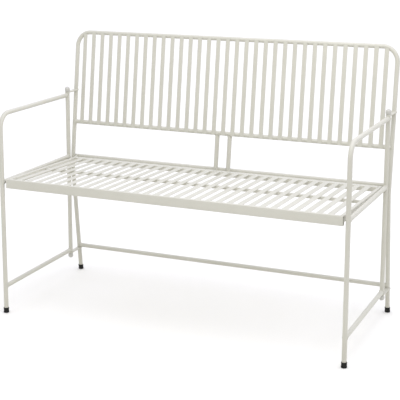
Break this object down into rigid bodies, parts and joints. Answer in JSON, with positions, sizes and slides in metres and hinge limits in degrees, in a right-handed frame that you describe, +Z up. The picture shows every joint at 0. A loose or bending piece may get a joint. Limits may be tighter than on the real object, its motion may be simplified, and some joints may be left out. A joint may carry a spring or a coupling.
{
  "type": "garden bench",
  "caption": "Folding two-seat garden bench of slim cream steel tube, with flat-bar slats in the seat and back, bent-tube arms on hinged side frames and dark rubber feet",
  "frame": {"origin": "on the floor, under the middle of the bench's bounding box", "axes": "+X to the right as one faces the bench, +Y to the back, +Z up; the sitter faces -Y"},
  "size_m": [1.1184, 0.517, 0.8439],
  "materials": {
    "back_coat": "cream powder coat, satin",
    "side_coat": "cream powder coat, satin",
    "seat_coat": "cream powder coat, satin",
    "cap_coat": "cream coat on domed bolt caps",
    "ferrule_rubber": "matt black moulded rubber",
    "pin_steel": "plain zinc-plated steel"
  },
  "bodies": {
    "back_frame": {"back_frame_tube": "back_coat", "back_slat_panel": "back_coat", "seat_level_crossbar": "back_coat", "rear_stretcher": "back_coat", "centre_support_left": "back_coat", "seat_hinge_bracket_left": "back_coat", "seat_hinge_pin_left": "pin_steel", "upper_lug_left": "back_coat", "lower_lug_left": "back_coat", "upper_pivot_bolt_left": "cap_coat", "lower_pivot_bolt_left": "cap_coat", "rear_ferrule_left": "ferrule_rubber", "centre_support_right": "back_coat", "seat_hinge_bracket_right": "back_coat", "seat_hinge_pin_right": "pin_steel", "upper_lug_right": "back_coat", "lower_lug_right": "back_coat", "upper_pivot_bolt_right": "cap_coat", "lower_pivot_bolt_right": "cap_coat", "rear_ferrule_right": "ferrule_rubber"},
    "seat": {"seat_front_rail": "seat_coat", "seat_rear_rail": "seat_coat", "seat_slat_panel": "seat_coat", "seat_side_rail_left": "seat_coat", "seat_side_rail_right": "seat_coat"},
    "left_side_frame": {"leg_and_arm_tube_left": "side_coat", "post_tube_left": "side_coat", "seat_level_side_bar_left": "side_coat", "low_side_stretcher_left": "side_coat", "front_ferrule_left": "ferrule_rubber"},
    "right_side_frame": {"leg_and_arm_tube_right": "side_coat", "post_tube_right": "side_coat", "seat_level_side_bar_right": "side_coat", "low_side_stretcher_right": "side_coat", "front_ferrule_right": "ferrule_rubber"}
  },
  "joints": [
    {"name": "seat_fold", "type": "hinge", "parent": "back_frame", "child": "seat", "pos_m": [0, 0.175, 0.408], "axis": [-1, 0, 0], "range_deg": [0, 95]},
    {"name": "left_side_swing", "type": "hinge", "parent": "back_frame", "child": "left_side_frame", "pos_m": [-0.548, 0.1635, 0.36], "axis": [0, 0, -1], "range_deg": [0, 90]},
    {"name": "right_side_swing", "type": "hinge", "parent": "back_frame", "child": "right_side_frame", "pos_m": [0.548, 0.1635, 0.36], "axis": [0, 0, 1], "range_deg": [0, 90]}
  ]
}
